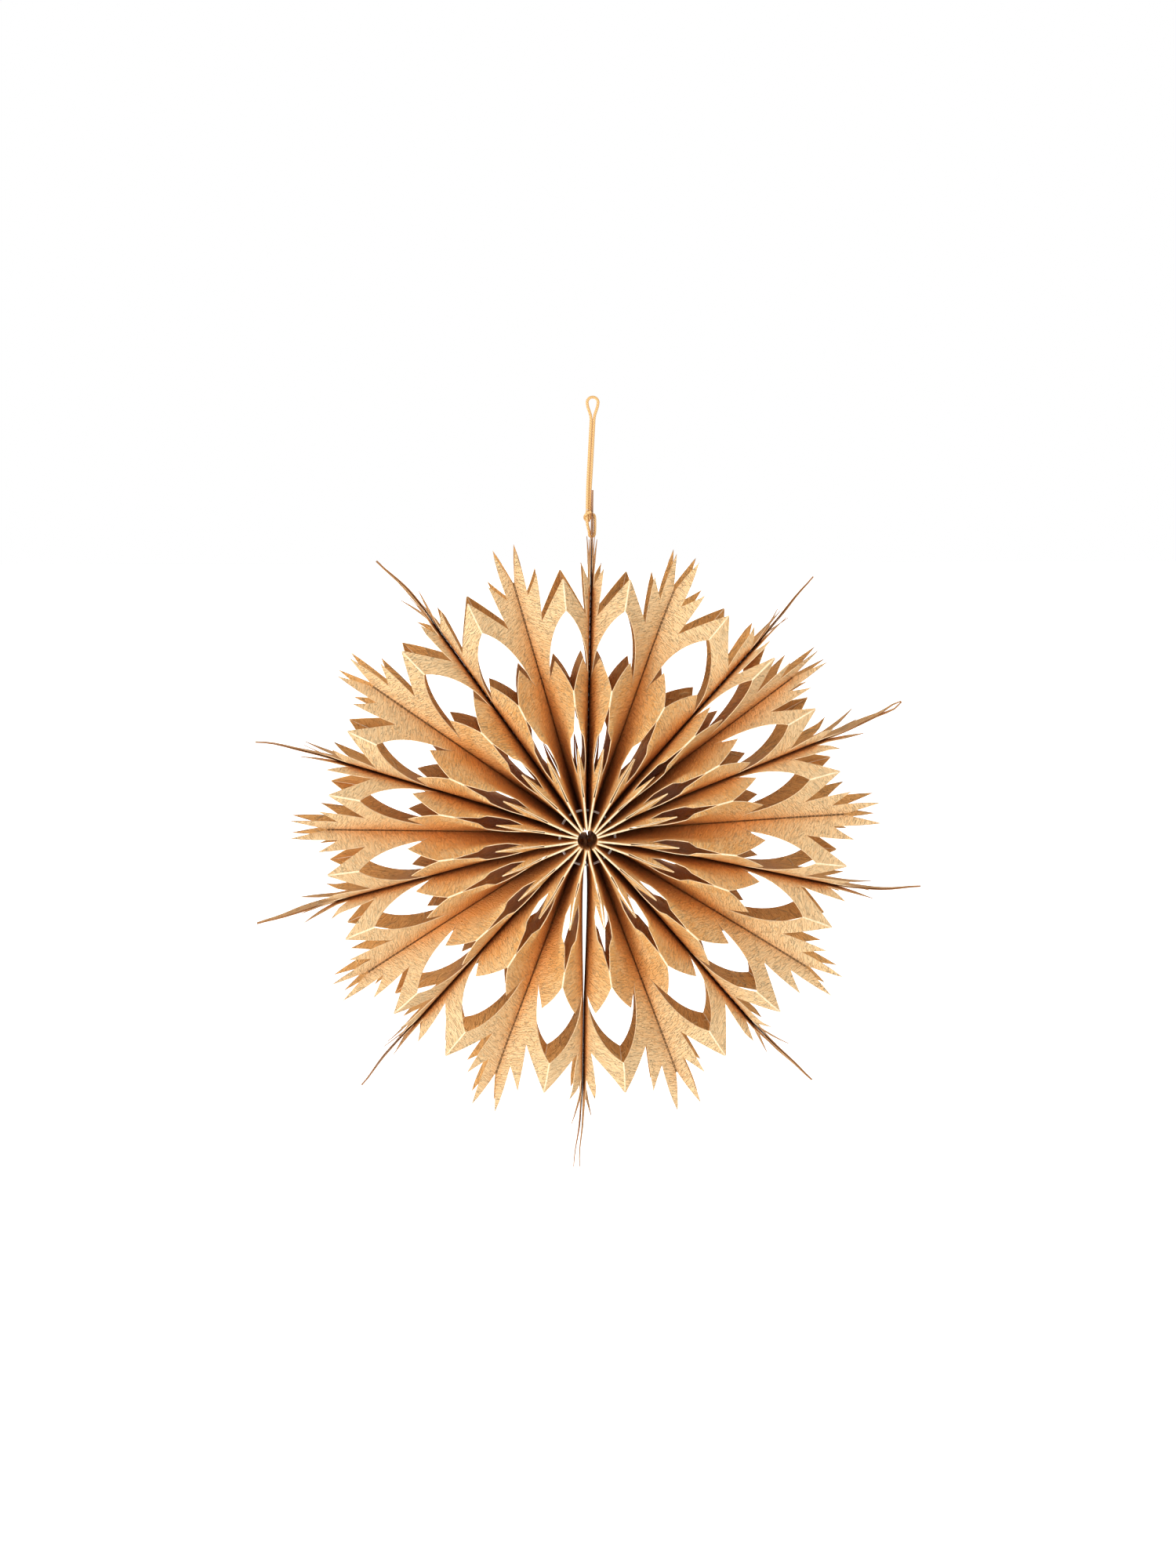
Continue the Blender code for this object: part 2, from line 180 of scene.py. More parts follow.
HALF = POCKET_DEPTH / 2
CREASE = HALF - GUSSET_WIDTH
LAYER = PAPER + GAP
BESIDE_BLADE = LAYER / 2 + PAPER / 2 + CORD_DIAMETER / 2  # the inner strand's middle
HOLE_HEIGHT = SPIKE_LENGTH - HOLE_FROM_TIP
LEAN = math.radians(TOP_LEAN)
HUB_CENTRE = Vector((-SPIKE_LENGTH * math.sin(LEAN), 0, -LOOP_TO_HUB))
FRONT = Vector((0, -1, 0))
COUNT = len(POCKETS)
CIRCLE = 2 * math.pi / sum(row[0] for row in POCKETS)
FOLDS = (
    (HUB_RADIUS, TAB_END),
    (WINDOW_TOP, WINDOW_TOP + BRIDGE_LENGTH),
    (DIAMOND_TOP, CHEVRON_TIP),
)

# The seam thread in each valley
STITCH_START = 0.050
STITCH_END = 0.148
STITCH_PITCH = 0.0044
STITCH_LENGTH = 0.0017
STITCH_RADIUS = 0.00018
STITCH_DEPTH = 0.0046

# The browns of the spines' thin tips (partly painted shade of the gap between their two sheets),
# of the painted shade in the slots between the sheets and along the creases, and of the creases'
# dots
TIP_SHADE_BROWN = (0.64, 0.36, 0.15)
TIP_EDGE_SHADE = (0.36, 0.17, 0.065)
SLOT_SHADE_BROWN = (0.34, 0.095, 0.020)
CREASE_SHADE_BROWN = (0.62, 0.24, 0.06)
DOT_BROWN = (0.16, 0.055, 0.015)

# Where the card's tones begin and end: in its grain, in how closed in a place is for the painted
# shade in the folds and slots, and in decimetres along a spine for the painted light towards the
# outer end and the tips' partly painted shade
GRAIN_TONES = (0.425, 0.575)
FOLD_SHADE_TONES = (0.08, 0.60)
SLOT_SHADE_TONES = (0.0, 0.13)
OUTER_LIGHT_FROM = (0.75, 1.40)
SPIKE_TONES = (CREASE_NOTCH * 9.7, CREASE_NOTCH * 10.9)
EDGE_TONES = (CREASE_NOTCH * 9.9, CREASE_NOTCH * 10.9)
HAIR_WIDTH = 0.02
SHADE_WIDTH = 0.05

# The camera and the room
FRAME_HEIGHT = 0.918  # of the photograph, at the ornament
CAMERA_DISTANCE = 2.75
CAMERA_AZIMUTH = -1.8
CAMERA_ELEVATION = 7.0
AIM_BESIDE_HUB = 0.0015
AIM_ABOVE_HUB = 0.0279
FLOOR_BELOW_HUB = 0.75


def outward(angle):
    """The direction away from the hub, for an angle anticlockwise from +X in the front view."""
    return Vector((math.cos(angle), 0, math.sin(angle)))


def sideways(angle):
    """The anticlockwise direction round the hub."""
    return Vector((-math.sin(angle), 0, math.cos(angle)))


def spine_angle(index):
    return math.pi / 2 - LEAN - CIRCLE * sum(row[0] for row in POCKETS[:index])


def pocket_parts(pocket):
    """A pocket's angles: its near wall's spread, half of its leaf, and its far wall's spread."""
    opened, near, far = (part * CIRCLE for part in POCKETS[pocket])
    widest = math.atan(FLATTEST * GUSSET_WIDTH / CHEVRON_TIP)
    leaf = min((opened - near - far) / 2, widest)
    share = (opened - 2 * leaf) / (near + far)
    return near * share, leaf, far * share


def near_body(pocket):
    """The body of a pocket's near wall."""
    return "spine_06_left" if pocket == SEAM_SPINE else f"spine_{pocket + 1:02d}"


def far_body(pocket):
    """The body of a pocket's far wall."""
    if pocket + 1 == SEAM_SPINE:
        return "spine_06_right"
    return f"spine_{(pocket + 1) % COUNT + 1:02d}"


def curve_between(start, control, end, steps):
    """Points along a quadratic curve, without its two ends."""
    inner = []
    for i in range(1, steps):
        t = i / steps
        near, both, far = (1 - t) ** 2, 2 * t * (1 - t), t * t
        inner.append(tuple(near * a + both * b + far * c for a, b, c in zip(start, control, end)))
    return inner


def bowed(start, end, bow):
    """The points of a slightly bowed cut from start to end, without the start."""
    middle = ((start[0] + end[0]) / 2, (start[1] + end[1]) / 2)
    across = (-(end[1] - start[1]) * bow, (end[0] - start[0]) * bow)
    control = (middle[0] + across[0], middle[1] + across[1])
    return [*curve_between(start, control, end, 4), end]


def side_cut():
    """The cut edge of a flat pocket, from its corner at the hub to the notch on the crease."""
    neck = (CREASE + NECK_OUT, NECK)
    diamond = (HALF, DIAMOND_TOP)
    edge = [
        (HALF, HUB_RADIUS),
        (HALF, TAB_END),
        (HALF - TAB_STEP, TAB_END),
        (HALF - TAB_STEP, FINGER_TIP),
        (HALF - TAB_STEP - FINGER_WIDTH, FINGER_SLIT),
        (HALF - WINDOW_LOW_IN, WINDOW_LOW),
        (HALF - WINDOW_WIDE_IN, WINDOW_WIDE),
        (HALF, WINDOW_TOP),
        (HALF, WINDOW_TOP + BRIDGE_LENGTH),
    ]
    edge += bowed(edge[-1], (CREASE + INNER_TOOTH_OUT, INNER_TOOTH), -0.05)
    edge += bowed(edge[-1], (CREASE + TOOTH_SLIT_OUT, TOOTH_SLIT), 0.04)
    edge.append(neck)
    edge += curve_between(neck, (CREASE + DIAMOND_BEND_OUT, DIAMOND_BEND), diamond, 9)
    edge += [diamond, (HALF, CHEVRON_TIP)]
    edge += bowed(edge[-1], (CREASE + CHEVRON_NOTCH_OUT, CHEVRON_NOTCH), 0.03)
    edge += bowed(edge[-1], (CREASE + SIDE_TOOTH_OUT, SIDE_TOOTH), -0.05)
    edge += bowed(edge[-1], (CREASE + TOOTH_NOTCH_OUT, TOOTH_NOTCH), 0.05)
    edge += bowed(edge[-1], (CREASE + CREASE_TOOTH_OUT, CREASE_TOOTH), -0.05)
    edge.append((CREASE, CREASE_NOTCH))
    return edge


def spike_edge():
    """The cut edge from the crease notch to the tip of the spine."""
    start = (CREASE, CREASE_NOTCH)
    end = (TIP_HALF, SPIKE_LENGTH)
    control = (CREASE * 0.30, (CREASE_NOTCH + SPIKE_LENGTH) / 2)
    return [*curve_between(start, control, end, 9), end]


def mirrored(points):
    """A closed outline from its right half, which runs from the bottom to the top."""
    left = [(-x, y) for x, y in reversed(points) if x > 0]
    return points + left


def round_hole(x, y, radius, sides):
    turns = [2 * math.pi * i / sides for i in range(sides)]
    return [(x + radius * math.cos(t), y + radius * math.sin(t)) for t in turns]


def is_inside(point, loop):
    """Whether a flat point lies inside a closed loop."""
    x, y = point
    crossings = 0
    for (x0, y0), (x1, y1) in zip(loop, loop[1:] + loop[:1]):
        if (y0 > y) != (y1 > y) and x < x0 + (y - y0) * (x1 - x0) / (y1 - y0):
            crossings += 1
    return crossings % 2 == 1


def steps_between(low, high, step):
    count = max(round((high - low) / step), 1)
    return [low + (high - low) * i / count for i in range(1, count)]


def flat_sheet(outline, holes, bends):
    """Triangles of a flat sheet with holes, cut along its bends and into even facets, with fine
    facets at its inner end."""
    coords = []
    edges = []
    for loop in [outline, *holes]:
        first = len(coords)
        coords += loop
        edges += [(first + i, first + (i + 1) % len(loop)) for i in range(len(loop))]
    reach = max(abs(x) for x, _ in outline)
    top = max(y for _, y in outline)
    fine_top = HUB_RADIUS + RIPPLE_REACH
    lines = [((x, 0), (x, top)) for x in bends]
    lines += [((x, fine_top), (x, top)) for x in steps_between(-reach, reach, SHEET_STEP)]
    lines += [((-reach, y), (reach, y)) for y in steps_between(fine_top, top, SHEET_STEP)]
    lines += [((x, 0), (x, fine_top)) for x in steps_between(-reach, reach, RIPPLE_WAVE / 6)]
    lines += [((-reach, y), (reach, y)) for y in (fine_top, (HUB_RADIUS + fine_top) / 2)]
    for line in lines:
        edges.append((len(coords), len(coords) + 1))
        coords += line
    points, _, faces, *_ = delaunay_2d_cdt([Vector(c) for c in coords], edges, [], 0, 1e-7)
    kept = []
    for face in faces:
        middle = sum((points[i] for i in face), Vector((0, 0))) / len(face)
        if is_inside(middle, outline) and not any(is_inside(middle, hole) for hole in holes):
            kept.append(face)
    used = sorted({i for face in kept for i in face})
    place = {old: new for new, old in enumerate(used)}
    return [tuple(points[i]) for i in used], [[place[i] for i in face] for face in kept]


def smooth_stops(stops, count):
    """Evenly spaced stops on a smooth curve through a few given ones."""
    slopes = []
    for i in range(len(stops)):
        before, after = stops[max(i - 1, 0)], stops[min(i + 1, len(stops) - 1)]
        slopes.append((after[1] - before[1]) / (after[0] - before[0]))
    fine = []
    for step in range(count + 1):
        at = stops[-1][0] * step / count
        i = max(k for k in range(len(stops) - 1) if stops[k][0] <= at)
        (x0, y0), (x1, y1) = stops[i], stops[i + 1]
        t, width = (at - x0) / (x1 - x0), x1 - x0
        value = y0 * (1 + 2 * t) * (1 - t) ** 2 + y1 * t * t * (3 - 2 * t)
        value += width * (slopes[i] * t * (1 - t) ** 2 - slopes[i + 1] * t * t * (1 - t))
        fine.append((at, value))
    return fine


WALL_STOPS = smooth_stops([(0, 0), *WALL_BENDS, (1, 1)], 12)


def wall_place(x, y, spread):
    """How far a wall's point lies beside its spine's plane, and in front of the middle plane."""
    opening = max(y - HUB_RADIUS, 0) * math.tan(spread)
    beside = (PAPER + SEAM_GAP) / 2
    ahead = 0
    for (low, opened), (high, next_opened) in zip(WALL_STOPS, WALL_STOPS[1:]):
        width = (high - low) * HALF
        part = min(max(abs(x) - low * HALF, 0) / width, 1)
        rise = min(opening * (next_opened - opened), STEEPEST * width)
        beside += part * rise
        ahead += part * math.sqrt(width**2 - rise**2)
    return beside, math.copysign(ahead, x)


def smooth(part):
    """A share kept between 0 and 1 and eased at both ends."""
    part = min(max(part, 0), 1)
    return part * part * (3 - 2 * part)


def tip_bend(spine, y):
    past = max(y - TIP_BEND_START, 0) / (SPIKE_LENGTH - TIP_BEND_START)
    return TIP_BENDS[spine % COUNT] * past**2


def tip_wobble(spine, side, y, ahead):
    """The small curls and the twist of a spine's thin tip, where its two sheets part a little."""
    if spine % COUNT == 0:
        return 0
    past = max(y - TIP_BEND_START, 0) / (SPIKE_LENGTH - TIP_BEND_START)
    phase = 2.1 * spine
    wave = math.sin(9 * past + phase) - math.sin(phase)
    twist = math.radians(TIP_TWIST) * math.sin(1.9 * spine + 0.6) * min(2 * past, 1)
    apart = 0
    if spine == SEAM_SPINE:
        apart = SEAM_SPLAY * past**2
    elif spine == LOOPED_SPINE and past > LOOP_START:
        apart = LOOP_BOW * math.sin(math.pi * min((past - LOOP_START) / (1 - LOOP_START), 1))
    return TIP_WOBBLE * past**2 * wave + side * apart + ahead * math.sin(twist)


def tooth_splay(spine, side, x, y):
    """How far the wall's tooth beside a spine's tip stands off sideways."""
    fold_shade_colour = min(max(abs(x) - SPLAY_FROM * CREASE, 0) / CREASE_TOOTH_OUT, 1)
    past = max(y - TOOTH_NOTCH, 0) / (CREASE_TOOTH - TOOTH_NOTCH)
    uneven = 1 + SPLAY_UNEVEN * math.sin(2.7 * spine + 1.9 * side + 1.3 * (x > 0))
    return TOOTH_SPLAY * uneven * fold_shade_colour * past**2


def window_spring(x, y):
    """How far a sheet's free edge by an inner window springs aside, from 0 to 1, for a point that
    lies x inside the side fold. The fingers beyond their slits spring back."""
    if not TAB_END < y < WINDOW_TOP:
        return 0
    along = (y - TAB_END) / (WINDOW_TOP - TAB_END)
    rest = 1
    if y > FINGER_SLIT and x < TAB_STEP + FINGER_WIDTH + PAPER / 4:
        slit = (FINGER_SLIT - TAB_END) / (WINDOW_TOP - TAB_END)
        rest = 1 - 1.2 * (along - slit) / (1 - slit)
        along = slit
    near = smooth((1 - x / (SPRING_REACH * GUSSET_WIDTH)) / SPRING_EASE)
    return rest * math.sin(math.pi * along**1.4) * near


def finger_lean(x, y):
    """How far a finger leans over its window, from 0 to 1, for a point x inside the side fold."""
    if x > TAB_STEP + FINGER_WIDTH or not TAB_END < y < FINGER_TIP + PAPER:
        return 0
    rise = smooth((y - TAB_END) / (FINGER_SLIT - TAB_END))
    return (1 - max(x - TAB_STEP, 0) / FINGER_WIDTH) * rise


def seam_bow(spine, y):
    if spine != SEAM_SPINE or not TIE_RADIUS < y < SEAM_END:
        return 0
    part = (y - TIE_RADIUS) / (SEAM_END - TIE_RADIUS)
    return SEAM_BOW * math.sin(math.pi * math.sqrt(part))


def hub_ripple(depth, y):
    """The crumpled inner ends of the sheets, a sideways wave along their depth."""
    near = max(1 - (y - HUB_RADIUS) / RIPPLE_REACH, 0)
    phase = 2 * math.pi * depth / RIPPLE_WAVE + 1.7 * math.sin(depth / RIPPLE_DRIFT)
    return RIPPLE * near**2 * math.sin(phase)


def wall_fold(spine, side, spread):
    """The fold of a wall: side is 1 on its spine's anticlockwise side and -1 on the other."""
    angle = spine_angle(spine)
    out, across = outward(angle), sideways(angle)

    def fold(x, y):
        beside, ahead = wall_place(x, y, spread)
        beside += seam_bow(spine, y) + tooth_splay(spine, side, x, y)
        inset = HALF - abs(x)
        beside -= min(WALL_SPRING * window_spring(inset, y), beside / 2)
        beside += FINGER_LEAN * finger_lean(inset, y)
        beside = side * beside + tip_bend(spine, y) + tip_wobble(spine, side, y, ahead)
        beside += hub_ripple(ahead, y)
        return HUB_CENTRE + out * y + across * beside + FRONT * ahead

    return fold


def leaf_edge(y, spread, half):
    """A leaf's side fold beside its wall: how far out along the crease, how far to the side of
    the crease, how far in front of the middle plane, and how deep the crease lies for it."""
    beside, ahead = wall_place(HALF, y, spread)
    beside += LAYER
    along = y * math.cos(half) + beside * math.sin(half)
    width = max(y * math.sin(half) - beside * math.cos(half) - LAYER / 2, 0)
    drop = math.sqrt(max(GUSSET_WIDTH**2 - width**2, (SHALLOWEST * GUSSET_WIDTH) ** 2))
    return along, width, ahead, ahead - drop


def leaf_fold(pocket, facing, seed):
    """The fold of a leaf, whose crease lies between its pocket's walls: facing is 1 in front."""
    near, leaf, far = pocket_parts(pocket)
    crease_angle = spine_angle(pocket) - near - leaf
    out, across = outward(crease_angle), sideways(crease_angle)
    curl = TOOTH_CURL * (2 * noise.noise(Vector((seed, 0.3, 0.7))) + 0.35)

    def fold(x, y):
        edges = leaf_edge(y, near, near + leaf), leaf_edge(y, far, far + leaf)
        crease_ahead = (edges[0][3] + edges[1][3]) / 2
        along, width, ahead, _ = edges[0] if x > 0 else edges[1]
        part = max(abs(x) - LAYER / 2, 0) / GUSSET_WIDTH
        inset = (1 - part) * GUSSET_WIDTH
        inside = min(LEAF_SPRING * window_spring(inset, y), part * width / 2)
        inside -= FINGER_LEAN / 3 * finger_lean(inset, y)
        side = math.copysign(min(abs(x), LAYER / 2) + part * width - inside, x)
        spine = pocket if x > 0 else pocket + 1
        bow = math.copysign(part * seam_bow(spine, y), -x)
        free = 4 * part * (1 - part) * min(y / CHEVRON_NOTCH, 1)
        waves = Vector((x / SWELL_WAVES[0], y / SWELL_WAVES[1], seed))
        swell = SWELL * free * noise.noise(waves)
        past = max(y - CHEVRON_NOTCH, 0) / (CREASE_TOOTH - CHEVRON_NOTCH)
        loose = min(max((LOOSE_TOOTH - abs(x) / CHEVRON_NOTCH_OUT) / (LOOSE_TOOTH - 1), 0), 1)
        depth = crease_ahead + part * (ahead - crease_ahead) + swell + curl * past**2 * loose
        return (
            HUB_CENTRE
            + out * (y + part * (along - y))
            + across * (side + hub_ripple(depth * facing, y))
            + sideways(spine_angle(spine)) * bow
            + FRONT * facing * depth
        )

    return fold


def tie_holes(x):
    radius = TIE_THICKNESS / 2 + TIE_CLEARANCE
    return [round_hole(side * x, TIE_RADIUS, radius, 10) for side in (-1, 1)]


def add_object(name, data):
    obj = bpy.data.objects.new(name, data)
    bpy.context.collection.objects.link(obj)
    return obj


def mesh_object(name, points, faces, materials, slots=None):
    """A mesh object, smooth but for its sharp folds."""
    mesh = bpy.data.meshes.new(name)
    mesh.from_pydata(points, [], faces)
    for mat in materials:
        mesh.materials.append(mat)
    if slots:
        mesh.polygons.foreach_set("material_index", slots)
    mesh.shade_smooth()
    mesh.set_sharp_from_angle(angle=SHARP_FOLD)
    return add_object(name, mesh)


def point_normals(points, faces):
    """Each point's normal, weighted by the area of its faces."""
    normals = [Vector() for _ in points]
    for face in faces:
        a, b, c = (points[i] for i in face[:3])
        area = (b - a).cross(c - a)
        for i in face:
            normals[i] += area
    return [n.normalized() for n in normals]


def give_thickness(points, faces, outer):
    """Closed solid of a sheet: outer faces first, then inner faces and the cut edges, each with
    the index of its material and the sheet's point that each of its points comes from."""
    normals = point_normals(points, faces)
    if sum(n.dot(outer) for n in normals) < 0:
        faces = [face[::-1] for face in faces]
        normals = [-n for n in normals]
    count = len(points)
    solid = [p + n * PAPER / 2 for p, n in zip(points, normals)]
    solid += [p - n * PAPER / 2 for p, n in zip(points, normals)]
    inner = [[count + i for i in reversed(face)] for face in faces]
    ways = {(face[i - 1], face[i]) for face in faces for i in range(len(face))}
    rim = [[b, a, count + a, count + b] for a, b in sorted(ways) if (b, a) not in ways]
    slots = [0] * len(faces) + [1] * len(inner) + [2] * len(rim)
    return solid, [list(f) for f in faces] + inner + rim, slots


def add_flat_maps(obj, flat, seed):
    """Two maps of a sheet's flat places, in decimetres: true ones for the crease, and ones moved
    about for the grain, so that no two sheets have the same."""
    true_map = obj.data.uv_layers.new(name="flat")
    grain_map = obj.data.uv_layers.new(name="grain")
    shift = Vector((7.3 * seed % 5, 3.1 * seed % 7))
    for loop in obj.data.loops:
        place = Vector(flat[loop.vertex_index]) * 10
        true_map.data[loop.index].uv = place
        grain_map.data[loop.index].uv = place + shift


def ring_faces(first, sides):
    """The faces between a ring of points and the next ring."""
    turns = [(first + i, first + (i + 1) % sides) for i in range(sides)]
    return [[a, b, b + sides, a + sides] for a, b in turns]


def fold_lips(spine, side, spread):
    """The rounded folds that join a wall's outer face to its leaves' outer faces."""
    wall = wall_fold(spine, side, spread)
    across = sideways(spine_angle(spine)) * side
    points = []
    faces = []
    for facing in (1, -1):
        for low, high in FOLDS:
            rows = [low, *steps_between(low, high, FOLD_STEP), high]
            first = len(points)
            turns = [math.pi * i / FOLD_SIDES for i in range(FOLD_SIDES + 1)]
            for y in rows:
                edge = wall(facing * HALF, y)
                start = edge - across * PAPER / 2
                end = edge + across * (LAYER + PAPER / 2)
                centre, reach = (start + end) / 2, (start - end) / 2
                points += [
                    centre + reach * math.cos(t) + FRONT * facing * FOLD_BULGE * math.sin(t)
                    for t in turns
                ]
            n = len(turns)
            for row in range(len(rows) - 1):
                faces += ring_faces(first + row * n, n)
            faces.append([first + i for i in reversed(range(n))])
            last = first + (len(rows) - 1) * n
            faces.append([last + i for i in range(n)])
            if facing * side > 0:
                made = len(rows) * n - n + 2
                faces[-made:] = [face[::-1] for face in faces[-made:]]
    return points, faces


def make_wall(name, sheet, spine, side, spread, body, mats):
    seed = 1 + 2 * spine + (side > 0)
    flat, triangles = sheet
    fold = wall_fold(spine, side, spread)
    outer = sideways(spine_angle(spine)) * -side
    solid, faces, slots = give_thickness([fold(x, y) for x, y in flat], triangles, outer)
    lip_points, lip_faces = fold_lips(spine, side, spread)
    base = len(solid)
    faces += [[base + i for i in face] for face in lip_faces]
    slots += [3] * len(lip_faces)
    obj = mesh_object(f"{name}_sheet", solid + lip_points, faces, mats, slots)
    lip_flat = [(0, (p - HUB_CENTRE).length) for p in lip_points]
    places = [(-abs(x), y) for x, y in flat]
    add_flat_maps(obj, places + places + lip_flat, seed)
    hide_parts(name)
    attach(obj, body)


def make_walls(mats):
    """Each pocket's two walls. The two by the top spine have the cord's hole."""
    outline = mirrored(side_cut() + spike_edge())
    holes = tie_holes(TIE_DEPTH)
    eyelet = round_hole(0, HOLE_HEIGHT, CORD_DIAMETER / 2 + 2 * GAP, 14)
    plain = flat_sheet(outline, holes, (0,))
    pierced = flat_sheet(outline, [*holes, eyelet], (0,))
    for pocket in range(COUNT):
        near, _, far = pocket_parts(pocket)
        for word, spine, side, spread, body in (
            ("near", pocket, -1, near, near_body(pocket)),
            ("far", pocket + 1, 1, far, far_body(pocket)),
        ):
            sheet = pierced if spine % COUNT == 0 else plain
            name = f"pocket_{pocket + 1:02d}_{word}_wall"
            make_wall(name, sheet, spine, side, spread, body, mats)


def make_leaves(mats):
    """Each pocket's front and back leaf. A leaf is laid out flat with its share from side to side,
    and is then folded."""
    shift = LAYER / 2 - CREASE
    outline = mirrored([(x + shift, y) for x, y in side_cut()])
    holes = tie_holes(TIE_DEPTH + shift)
    flat, triangles = flat_sheet(outline, holes, (-LAYER / 2, LAYER / 2))
    reach = max(x for x, _ in outline)
    for pocket in range(COUNT):
        for word, facing in (("front", 1), ("back", -1)):
            name = f"pocket_{pocket + 1:02d}_{word}_leaf"
            seed = 31 + 2 * pocket + (facing > 0)
            fold = leaf_fold(pocket, facing, seed)
            places = [fold(x, y) for x, y in flat]
            folded, faces, slots = give_thickness(places, triangles, FRONT * facing)
            shares = [Vector((x / reach, y, 0)) for x, y in flat + flat]
            obj = mesh_object(f"{name}_sheet", shares, faces, mats, slots)
            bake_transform(obj)
            obj.data.vertices.foreach_set("co", [c for p in folded for c in p])
            obj.data.update()
            obj.data.set_sharp_from_angle(angle=SHARP_FOLD)
            from_crease = [(abs(x) - LAYER / 2 + CREASE, y) for x, y in flat]
            add_flat_maps(obj, from_crease + from_crease, seed)
            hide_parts(name)


def tube(points, radius, sides, ends=0.35):
    """Points and faces of a closed tube along a route, with slightly drawn-in ends."""
    rings = []
    for i, place in enumerate(points):
        way = (points[min(i + 1, len(points) - 1)] - points[max(i - 1, 0)]).normalized()
        up = way.orthogonal() if not rings else rings[-1][1] - way * rings[-1][1].dot(way)
        up.normalize()
        size = radius * (ends if i in (0, len(points) - 1) else 1)
        rings.append((place, up, way.cross(up), size))
    verts = [
        place + (up * math.cos(t) + beside * math.sin(t)) * size
        for place, up, beside, size in rings
        for t in (2 * math.pi * k / sides for k in range(sides))
    ]
    faces = []
    for i in range(len(rings) - 1):
        faces += ring_faces(i * sides, sides)
    faces.append(list(reversed(range(sides))))
    faces.append([len(verts) - sides + k for k in range(sides)])
    return verts, faces


def join_tubes(parts):
    verts = []
    faces = []
    for more, shapes in parts:
        base = len(verts)
        verts += more
        faces += [[base + i for i in face] for face in shapes]
    return verts, faces


def make_ties(mat):
    """The doubled thread rings, in one length for each pocket."""
    for word, facing in (("front", 1), ("back", -1)):
        for pocket in range(COUNT):
            start, end = spine_angle(pocket), spine_angle(pocket + 1)
            strands = []
            for strand in (-1, 1):
                route = []
                for i in range(TIE_STEPS + 1):
                    angle = start + (end - start) * i / TIE_STEPS
                    slack = TIE_SLACK * math.sin(3 * angle + 1.3 * facing)
                    radius = TIE_RADIUS + strand * TIE_APART + slack
                    depth = TIE_DEPTH + TIE_UNEVEN * math.sin(5 * angle + strand)
                    route.append(HUB_CENTRE + outward(angle) * radius + FRONT * facing * depth)
                strands.append(tube(route, TIE_STRAND, 8, 1))
            verts, faces = join_tubes(strands)
            obj = mesh_object(f"hub_tie_{word}_{pocket + 1:02d}", verts, faces, [mat])
            ends = [
                HUB_CENTRE + outward(a) * TIE_RADIUS + FRONT * facing * TIE_DEPTH
                for a in (start, end)
            ]
            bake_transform(obj)
            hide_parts(f"hub_tie_{word}")


def make_stitches(mat):
    """The seam thread that shows as dashes at the bottom of the valleys."""
    for spine in range(COUNT):
        if spine == SEAM_SPINE:
            continue
        angle = spine_angle(spine)
        stitches = []
        for facing in (1, -1):
            for y in steps_between(STITCH_START, STITCH_END, STITCH_PITCH):
                middle = HUB_CENTRE + FRONT * facing * STITCH_DEPTH
                spots = [y + STITCH_LENGTH * t for t in (-0.5, -0.35, 0, 0.35, 0.5)]
                route = [middle + outward(angle) * spot for spot in spots]
                stitches.append(tube(route, STITCH_RADIUS, 6))
        verts, faces = join_tubes(stitches)
        obj = mesh_object(f"seam_thread_{spine + 1:02d}", verts, faces, [mat])
        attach(obj, f"spine_{spine + 1:02d}")


def on_blade(x, y, z):
    """A place by the top spine, moved sideways with the leaning blade up to its tip."""
    below_tip = min(z - HUB_CENTRE.z - SPIKE_LENGTH, 0)
    return Vector((x + below_tip * math.tan(LEAN), y, z))


def between(stops, z):
    """The value at a height, from a list of heights and values."""
    for (z0, value0), (z1, value1) in zip(stops, stops[1:]):
        if z <= z1:
            return value0 + (value1 - value0) * max(z - z0, 0) / (z1 - z0)
    return stops[-1][1]


def strand_place(z, front):
    """Where a strand lies at a height: front is 1 for the front one and -1 for the rear one."""
    tip = -LOOP_TO_HUB + SPIKE_LENGTH
    eye = CORD_DIAMETER / 2 - EYE_RADIUS
    neck = eye - EYE_NECK
    half = STRAND_SPACING / 2
    middle = -BESIDE_BLADE - half * math.cos(math.radians(LOW_TURN))
    turns = [(tip, LOW_TURN), (tip + TURN_RISE, HIGH_TURN), (neck, HIGH_TURN), (eye, 0)]
    turn = math.radians(between(turns, z))
    wide = half + (EYE_RADIUS - half) * smooth((z - neck) / EYE_NECK)
    x = between([(tip, middle), (neck, 0)], z) - front * wide * math.cos(turn)
    return on_blade(x, -front * wide * math.sin(turn), z)


def strand_heights(tuck):
    """Heights of one strand's points, from its lower end up to the eye's middle."""
    bottom = -LOOP_TO_HUB + HOLE_HEIGHT + HITCH_HEIGHT + GAP - tuck
    eye = CORD_DIAMETER / 2 - EYE_RADIUS
    count = math.ceil((eye - bottom) / CORD_STEP)
    return [bottom + (eye - bottom) * i / count for i in range(count + 1)]


def smooth_route(points, rounds):
    """A route with its corners cut off, which keeps its two ends."""
    for _ in range(rounds):
        cut = [points[0]]
        for a, b in zip(points, points[1:]):
            cut += [a.lerp(b, 0.25), a.lerp(b, 0.75)]
        points = [*cut, points[-1]]
    return points


def cord_curve(name, path, mat):
    """A round cord along a path of points."""
    data = bpy.data.curves.new(name, "CURVE")
    data.dimensions = "3D"
    data.bevel_depth = CORD_DIAMETER / 2
    data.bevel_resolution = 4
    data.use_fill_caps = True
    spline = data.splines.new("POLY")
    spline.points.add(len(path) - 1)
    for point, place in zip(spline.points, path):
        point.co = (*place, 1)
    spline.use_smooth = True
    data.materials.append(mat)
    obj = add_object(name, data)
    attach(obj, "spine_01")
    return obj


